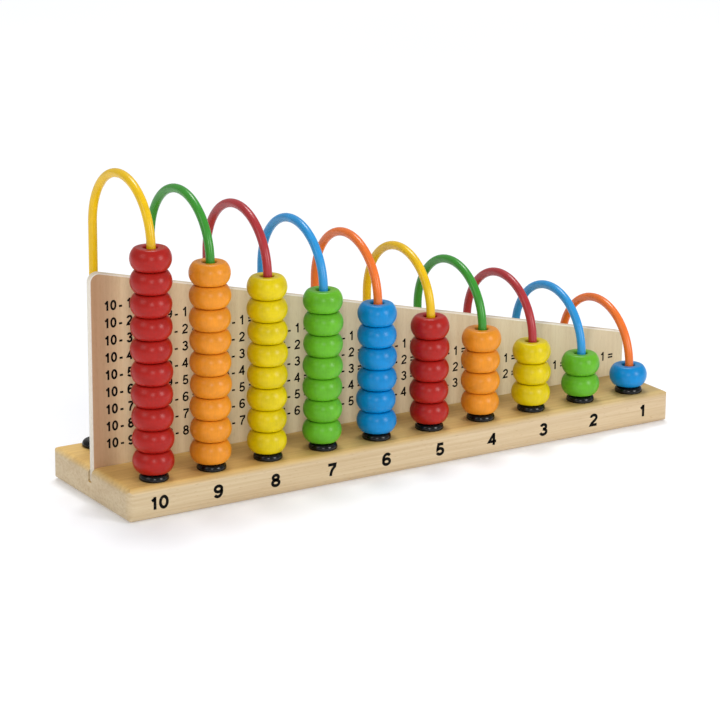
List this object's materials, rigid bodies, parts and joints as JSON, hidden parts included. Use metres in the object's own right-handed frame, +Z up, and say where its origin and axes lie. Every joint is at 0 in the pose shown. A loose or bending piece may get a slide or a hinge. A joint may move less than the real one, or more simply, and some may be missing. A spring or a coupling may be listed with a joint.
{
  "type": "abacus",
  "caption": "Upright school abacus: arched wires over a sloping number board on a slotted wooden base, with rounded beads stacked in steps on the front legs.",
  "frame": {"origin": "middle of the base's underside", "axes": "+X to the right along the base, from the tallest stack towards the single bead; +Y to the back; +Z up"},
  "size_m": [0.402, 0.101, 0.2027],
  "materials": {
    "base_wood": "satin clear lacquer on pale beech",
    "board_plywood": "satin lacquered thin plywood with dark print",
    "bushing_plastic": "glossy black plastic",
    "wire_orange": "glossy coloured coating on steel wire",
    "wire_blue": "glossy coloured coating on steel wire",
    "wire_red": "glossy coloured coating on steel wire",
    "wire_green": "glossy coloured coating on steel wire",
    "wire_yellow": "glossy coloured coating on steel wire",
    "bead_blue": "satin coloured lacquer on turned wood",
    "bead_green": "satin coloured lacquer on turned wood",
    "bead_yellow": "satin coloured lacquer on turned wood",
    "bead_orange": "satin coloured lacquer on turned wood",
    "bead_red": "satin coloured lacquer on turned wood",
    "print_ink": "flat black printing ink"
  },
  "bodies": {
    "stand": {"base": "base_wood", "number_board": "board_plywood", "bushings": "bushing_plastic", "wire_1": "wire_orange", "wire_2": "wire_blue", "wire_3": "wire_red", "wire_4": "wire_green", "wire_5": "wire_yellow", "wire_6": "wire_orange", "wire_7": "wire_blue", "wire_8": "wire_red", "wire_9": "wire_green", "wire_10": "wire_yellow"},
    "top_bead_1": {"top_bead_1": "bead_blue"},
    "top_bead_2": {"top_bead_2": "bead_green"},
    "bead_2_1": {"bead_2_1": "bead_green"},
    "top_bead_3": {"top_bead_3": "bead_yellow"},
    "bead_pair_3": {"bead_pair_3": "bead_yellow"},
    "top_bead_4": {"top_bead_4": "bead_orange"},
    "bead_4_3": {"bead_4_3": "bead_orange"},
    "bead_pair_4": {"bead_pair_4": "bead_orange"},
    "top_bead_5": {"top_bead_5": "bead_red"},
    "bead_5_3": {"bead_5_3": "bead_red"},
    "bead_5_4": {"bead_5_4": "bead_red"},
    "bead_pair_5": {"bead_pair_5": "bead_red"},
    "top_bead_6": {"top_bead_6": "bead_blue"},
    "bead_6_3": {"bead_6_3": "bead_blue"},
    "bead_6_4": {"bead_6_4": "bead_blue"},
    "bead_6_5": {"bead_6_5": "bead_blue"},
    "bead_pair_6": {"bead_pair_6": "bead_blue"},
    "top_bead_7": {"top_bead_7": "bead_green"},
    "bead_7_3": {"bead_7_3": "bead_green"},
    "bead_7_4": {"bead_7_4": "bead_green"},
    "bead_7_5": {"bead_7_5": "bead_green"},
    "bead_7_6": {"bead_7_6": "bead_green"},
    "bead_pair_7": {"bead_pair_7": "bead_green"},
    "top_bead_8": {"top_bead_8": "bead_yellow"},
    "bead_8_3": {"bead_8_3": "bead_yellow"},
    "bead_8_4": {"bead_8_4": "bead_yellow"},
    "bead_8_5": {"bead_8_5": "bead_yellow"},
    "bead_8_6": {"bead_8_6": "bead_yellow"},
    "bead_8_7": {"bead_8_7": "bead_yellow"},
    "bead_pair_8": {"bead_pair_8": "bead_yellow"},
    "top_bead_9": {"top_bead_9": "bead_orange"},
    "bead_9_3": {"bead_9_3": "bead_orange"},
    "bead_9_4": {"bead_9_4": "bead_orange"},
    "bead_9_5": {"bead_9_5": "bead_orange"},
    "bead_9_6": {"bead_9_6": "bead_orange"},
    "bead_9_7": {"bead_9_7": "bead_orange"},
    "bead_9_8": {"bead_9_8": "bead_orange"},
    "bead_pair_9": {"bead_pair_9": "bead_orange"},
    "top_bead_10": {"top_bead_10": "bead_red"},
    "bead_10_3": {"bead_10_3": "bead_red"},
    "bead_10_4": {"bead_10_4": "bead_red"},
    "bead_10_5": {"bead_10_5": "bead_red"},
    "bead_10_6": {"bead_10_6": "bead_red"},
    "bead_10_7": {"bead_10_7": "bead_red"},
    "bead_10_8": {"bead_10_8": "bead_red"},
    "bead_10_9": {"bead_10_9": "bead_red"},
    "bead_pair_10": {"bead_pair_10": "bead_red"}
  },
  "joints": [
    {"name": "column_1_bead_over_arch", "type": "hinge", "parent": "stand", "child": "top_bead_1", "pos_m": [0.177, 0, 0.03825], "axis": [-1, 0, 0], "range_deg": [0, 180]},
    {"name": "column_2_bead_over_arch", "type": "hinge", "parent": "stand", "child": "top_bead_2", "pos_m": [0.13767, 0, 0.05205], "axis": [-1, 0, 0], "range_deg": [0, 180]},
    {"name": "bead_2_1_rise", "type": "slide", "parent": "stand", "child": "bead_2_1", "axis": [0, 0, 1], "range_m": [0, 0.0138]},
    {"name": "column_3_bead_over_arch", "type": "hinge", "parent": "stand", "child": "top_bead_3", "pos_m": [0.09833, 0, 0.06585], "axis": [-1, 0, 0], "range_deg": [0, 180]},
    {"name": "bead_pair_3_rise", "type": "slide", "parent": "stand", "child": "bead_pair_3", "axis": [0, 0, 1], "range_m": [0, 0.0138]},
    {"name": "column_4_bead_over_arch", "type": "hinge", "parent": "stand", "child": "top_bead_4", "pos_m": [0.059, 0, 0.07965], "axis": [-1, 0, 0], "range_deg": [0, 180]},
    {"name": "bead_4_3_rise", "type": "slide", "parent": "stand", "child": "bead_4_3", "axis": [0, 0, 1], "range_m": [0, 0.0138]},
    {"name": "bead_pair_4_rise", "type": "slide", "parent": "stand", "child": "bead_pair_4", "axis": [0, 0, 1], "range_m": [0, 0.0138]},
    {"name": "column_5_bead_over_arch", "type": "hinge", "parent": "stand", "child": "top_bead_5", "pos_m": [0.01967, 0, 0.09345], "axis": [-1, 0, 0], "range_deg": [0, 180]},
    {"name": "bead_5_3_rise", "type": "slide", "parent": "stand", "child": "bead_5_3", "axis": [0, 0, 1], "range_m": [0, 0.0138]},
    {"name": "bead_5_4_rise", "type": "slide", "parent": "stand", "child": "bead_5_4", "axis": [0, 0, 1], "range_m": [0, 0.0138]},
    {"name": "bead_pair_5_rise", "type": "slide", "parent": "stand", "child": "bead_pair_5", "axis": [0, 0, 1], "range_m": [0, 0.0138]},
    {"name": "column_6_bead_over_arch", "type": "hinge", "parent": "stand", "child": "top_bead_6", "pos_m": [-0.01967, 0, 0.10725], "axis": [-1, 0, 0], "range_deg": [0, 180]},
    {"name": "bead_6_3_rise", "type": "slide", "parent": "stand", "child": "bead_6_3", "axis": [0, 0, 1], "range_m": [0, 0.0138]},
    {"name": "bead_6_4_rise", "type": "slide", "parent": "stand", "child": "bead_6_4", "axis": [0, 0, 1], "range_m": [0, 0.0138]},
    {"name": "bead_6_5_rise", "type": "slide", "parent": "stand", "child": "bead_6_5", "axis": [0, 0, 1], "range_m": [0, 0.0138]},
    {"name": "bead_pair_6_rise", "type": "slide", "parent": "stand", "child": "bead_pair_6", "axis": [0, 0, 1], "range_m": [0, 0.0138]},
    {"name": "column_7_bead_over_arch", "type": "hinge", "parent": "stand", "child": "top_bead_7", "pos_m": [-0.059, 0, 0.12105], "axis": [-1, 0, 0], "range_deg": [0, 180]},
    {"name": "bead_7_3_rise", "type": "slide", "parent": "stand", "child": "bead_7_3", "axis": [0, 0, 1], "range_m": [0, 0.0138]},
    {"name": "bead_7_4_rise", "type": "slide", "parent": "stand", "child": "bead_7_4", "axis": [0, 0, 1], "range_m": [0, 0.0138]},
    {"name": "bead_7_5_rise", "type": "slide", "parent": "stand", "child": "bead_7_5", "axis": [0, 0, 1], "range_m": [0, 0.0138]},
    {"name": "bead_7_6_rise", "type": "slide", "parent": "stand", "child": "bead_7_6", "axis": [0, 0, 1], "range_m": [0, 0.0138]},
    {"name": "bead_pair_7_rise", "type": "slide", "parent": "stand", "child": "bead_pair_7", "axis": [0, 0, 1], "range_m": [0, 0.0138]},
    {"name": "column_8_bead_over_arch", "type": "hinge", "parent": "stand", "child": "top_bead_8", "pos_m": [-0.09833, 0, 0.13485], "axis": [-1, 0, 0], "range_deg": [0, 180]},
    {"name": "bead_8_3_rise", "type": "slide", "parent": "stand", "child": "bead_8_3", "axis": [0, 0, 1], "range_m": [0, 0.0138]},
    {"name": "bead_8_4_rise", "type": "slide", "parent": "stand", "child": "bead_8_4", "axis": [0, 0, 1], "range_m": [0, 0.0138]},
    {"name": "bead_8_5_rise", "type": "slide", "parent": "stand", "child": "bead_8_5", "axis": [0, 0, 1], "range_m": [0, 0.0138]},
    {"name": "bead_8_6_rise", "type": "slide", "parent": "stand", "child": "bead_8_6", "axis": [0, 0, 1], "range_m": [0, 0.0138]},
    {"name": "bead_8_7_rise", "type": "slide", "parent": "stand", "child": "bead_8_7", "axis": [0, 0, 1], "range_m": [0, 0.0138]},
    {"name": "bead_pair_8_rise", "type": "slide", "parent": "stand", "child": "bead_pair_8", "axis": [0, 0, 1], "range_m": [0, 0.0138]},
    {"name": "column_9_bead_over_arch", "type": "hinge", "parent": "stand", "child": "top_bead_9", "pos_m": [-0.13767, 0, 0.14865], "axis": [-1, 0, 0], "range_deg": [0, 180]},
    {"name": "bead_9_3_rise", "type": "slide", "parent": "stand", "child": "bead_9_3", "axis": [0, 0, 1], "range_m": [0, 0.0138]},
    {"name": "bead_9_4_rise", "type": "slide", "parent": "stand", "child": "bead_9_4", "axis": [0, 0, 1], "range_m": [0, 0.0138]},
    {"name": "bead_9_5_rise", "type": "slide", "parent": "stand", "child": "bead_9_5", "axis": [0, 0, 1], "range_m": [0, 0.0138]},
    {"name": "bead_9_6_rise", "type": "slide", "parent": "stand", "child": "bead_9_6", "axis": [0, 0, 1], "range_m": [0, 0.0138]},
    {"name": "bead_9_7_rise", "type": "slide", "parent": "stand", "child": "bead_9_7", "axis": [0, 0, 1], "range_m": [0, 0.0138]},
    {"name": "bead_9_8_rise", "type": "slide", "parent": "stand", "child": "bead_9_8", "axis": [0, 0, 1], "range_m": [0, 0.0138]},
    {"name": "bead_pair_9_rise", "type": "slide", "parent": "stand", "child": "bead_pair_9", "axis": [0, 0, 1], "range_m": [0, 0.0138]},
    {"name": "column_10_bead_over_arch", "type": "hinge", "parent": "stand", "child": "top_bead_10", "pos_m": [-0.177, 0, 0.16245], "axis": [-1, 0, 0], "range_deg": [0, 180]},
    {"name": "bead_10_3_rise", "type": "slide", "parent": "stand", "child": "bead_10_3", "axis": [0, 0, 1], "range_m": [0, 0.0138]},
    {"name": "bead_10_4_rise", "type": "slide", "parent": "stand", "child": "bead_10_4", "axis": [0, 0, 1], "range_m": [0, 0.0138]},
    {"name": "bead_10_5_rise", "type": "slide", "parent": "stand", "child": "bead_10_5", "axis": [0, 0, 1], "range_m": [0, 0.0138]},
    {"name": "bead_10_6_rise", "type": "slide", "parent": "stand", "child": "bead_10_6", "axis": [0, 0, 1], "range_m": [0, 0.0138]},
    {"name": "bead_10_7_rise", "type": "slide", "parent": "stand", "child": "bead_10_7", "axis": [0, 0, 1], "range_m": [0, 0.0138]},
    {"name": "bead_10_8_rise", "type": "slide", "parent": "stand", "child": "bead_10_8", "axis": [0, 0, 1], "range_m": [0, 0.0138]},
    {"name": "bead_10_9_rise", "type": "slide", "parent": "stand", "child": "bead_10_9", "axis": [0, 0, 1], "range_m": [0, 0.0138]},
    {"name": "bead_pair_10_rise", "type": "slide", "parent": "stand", "child": "bead_pair_10", "axis": [0, 0, 1], "range_m": [0, 0.0138]}
  ],
  "couplings": [
    {"joint": "bead_2_1_rise", "follows": "column_2_bead_over_arch", "m_per_rad": 0.0043926},
    {"joint": "bead_pair_3_rise", "follows": "column_3_bead_over_arch", "m_per_rad": 0.0043926},
    {"joint": "bead_4_3_rise", "follows": "column_4_bead_over_arch", "m_per_rad": 0.0043926},
    {"joint": "bead_pair_4_rise", "follows": "column_4_bead_over_arch", "m_per_rad": 0.0043926},
    {"joint": "bead_5_3_rise", "follows": "column_5_bead_over_arch", "m_per_rad": 0.0043926},
    {"joint": "bead_5_4_rise", "follows": "column_5_bead_over_arch", "m_per_rad": 0.0043926},
    {"joint": "bead_pair_5_rise", "follows": "column_5_bead_over_arch", "m_per_rad": 0.0043926},
    {"joint": "bead_6_3_rise", "follows": "column_6_bead_over_arch", "m_per_rad": 0.0043926},
    {"joint": "bead_6_4_rise", "follows": "column_6_bead_over_arch", "m_per_rad": 0.0043926},
    {"joint": "bead_6_5_rise", "follows": "column_6_bead_over_arch", "m_per_rad": 0.0043926},
    {"joint": "bead_pair_6_rise", "follows": "column_6_bead_over_arch", "m_per_rad": 0.0043926},
    {"joint": "bead_7_3_rise", "follows": "column_7_bead_over_arch", "m_per_rad": 0.0043926},
    {"joint": "bead_7_4_rise", "follows": "column_7_bead_over_arch", "m_per_rad": 0.0043926},
    {"joint": "bead_7_5_rise", "follows": "column_7_bead_over_arch", "m_per_rad": 0.0043926},
    {"joint": "bead_7_6_rise", "follows": "column_7_bead_over_arch", "m_per_rad": 0.0043926},
    {"joint": "bead_pair_7_rise", "follows": "column_7_bead_over_arch", "m_per_rad": 0.0043926},
    {"joint": "bead_8_3_rise", "follows": "column_8_bead_over_arch", "m_per_rad": 0.0043926},
    {"joint": "bead_8_4_rise", "follows": "column_8_bead_over_arch", "m_per_rad": 0.0043926},
    {"joint": "bead_8_5_rise", "follows": "column_8_bead_over_arch", "m_per_rad": 0.0043926},
    {"joint": "bead_8_6_rise", "follows": "column_8_bead_over_arch", "m_per_rad": 0.0043926},
    {"joint": "bead_8_7_rise", "follows": "column_8_bead_over_arch", "m_per_rad": 0.0043926},
    {"joint": "bead_pair_8_rise", "follows": "column_8_bead_over_arch", "m_per_rad": 0.0043926},
    {"joint": "bead_9_3_rise", "follows": "column_9_bead_over_arch", "m_per_rad": 0.0043926},
    {"joint": "bead_9_4_rise", "follows": "column_9_bead_over_arch", "m_per_rad": 0.0043926},
    {"joint": "bead_9_5_rise", "follows": "column_9_bead_over_arch", "m_per_rad": 0.0043926},
    {"joint": "bead_9_6_rise", "follows": "column_9_bead_over_arch", "m_per_rad": 0.0043926},
    {"joint": "bead_9_7_rise", "follows": "column_9_bead_over_arch", "m_per_rad": 0.0043926},
    {"joint": "bead_9_8_rise", "follows": "column_9_bead_over_arch", "m_per_rad": 0.0043926},
    {"joint": "bead_pair_9_rise", "follows": "column_9_bead_over_arch", "m_per_rad": 0.0043926},
    {"joint": "bead_10_3_rise", "follows": "column_10_bead_over_arch", "m_per_rad": 0.0043926},
    {"joint": "bead_10_4_rise", "follows": "column_10_bead_over_arch", "m_per_rad": 0.0043926},
    {"joint": "bead_10_5_rise", "follows": "column_10_bead_over_arch", "m_per_rad": 0.0043926},
    {"joint": "bead_10_6_rise", "follows": "column_10_bead_over_arch", "m_per_rad": 0.0043926},
    {"joint": "bead_10_7_rise", "follows": "column_10_bead_over_arch", "m_per_rad": 0.0043926},
    {"joint": "bead_10_8_rise", "follows": "column_10_bead_over_arch", "m_per_rad": 0.0043926},
    {"joint": "bead_10_9_rise", "follows": "column_10_bead_over_arch", "m_per_rad": 0.0043926},
    {"joint": "bead_pair_10_rise", "follows": "column_10_bead_over_arch", "m_per_rad": 0.0043926}
  ]
}
